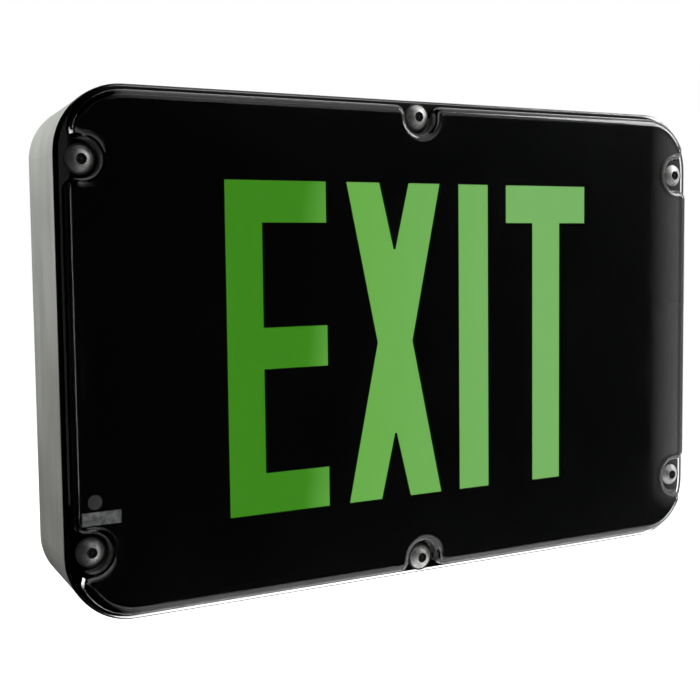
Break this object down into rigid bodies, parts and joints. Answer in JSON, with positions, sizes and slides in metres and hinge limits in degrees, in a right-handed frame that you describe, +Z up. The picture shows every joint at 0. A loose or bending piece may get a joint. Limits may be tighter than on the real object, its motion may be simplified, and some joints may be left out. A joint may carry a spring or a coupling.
{
  "type": "emergency exit light",
  "caption": "Sealed wall-mounted emergency exit light: grey box, clear scalloped cover on tamper-resistant screws, black stencil face and green letters lit from behind.",
  "frame": {"origin": "centre of the back face, in the plane of the wall", "axes": "-Y is where the letters face, +X is the reader's right, +Z is up"},
  "size_m": [0.358, 0.0635, 0.232],
  "materials": {
    "grey_housing": "satin, slightly textured",
    "clear_polycarbonate": "clear, polished",
    "black_panel": "smooth black",
    "green_sheet": "translucent green",
    "stainless_steel": "satin",
    "black_rubber": "matt",
    "white_plastic": "matt white",
    "circuit_board": "lacquered",
    "lamp_yellow": "moulded lens",
    "core_steel": "varnished plates",
    "coil_tape": "wound tape",
    "black_plastic": "matt",
    "capacitor_sleeve": "shrunk sleeve",
    "terminal_green": "matt",
    "battery_sleeve": "shrunk sleeve",
    "zinc_steel": "zinc plated",
    "grey_lens": "moulded lens",
    "pale_plate": "satin",
    "reed_glass": "clear",
    "lead_sleeve": "smooth sleeve",
    "grey_plug": "satin"
  },
  "bodies": {
    "root": {"back_housing": "grey_housing", "cover_gasket": "black_rubber", "front_cover": "clear_polycarbonate", "cover_screws": "stainless_steel", "screw_seals": "black_rubber", "stencil_panel": "black_panel", "green_diffuser": "green_sheet", "light_box": "white_plastic", "light_box_screws": "zinc_steel", "upper_led_board": "circuit_board", "lower_led_board": "circuit_board", "upper_leds": "lamp_yellow", "lower_leds": "lamp_yellow", "charger_board": "circuit_board", "charger_board_screws": "zinc_steel", "transformer_core": "core_steel", "transformer_coil": "coil_tape", "transfer_relay": "black_plastic", "smoothing_capacitors": "capacitor_sleeve", "terminal_block": "terminal_green", "lead_headers": "white_plastic", "battery_pack": "battery_sleeve", "battery_strap": "zinc_steel", "strap_screws": "zinc_steel", "status_lamp_lens": "grey_lens", "legend_plate": "pale_plate", "status_board": "circuit_board", "status_led": "lamp_yellow", "test_reed_switch": "reed_glass", "conduit_plug": "grey_plug", "battery_lead": "lead_sleeve", "upper_strip_lead": "lead_sleeve", "lower_strip_lead": "lead_sleeve", "status_lead": "lead_sleeve"}
  },
  "joints": []
}
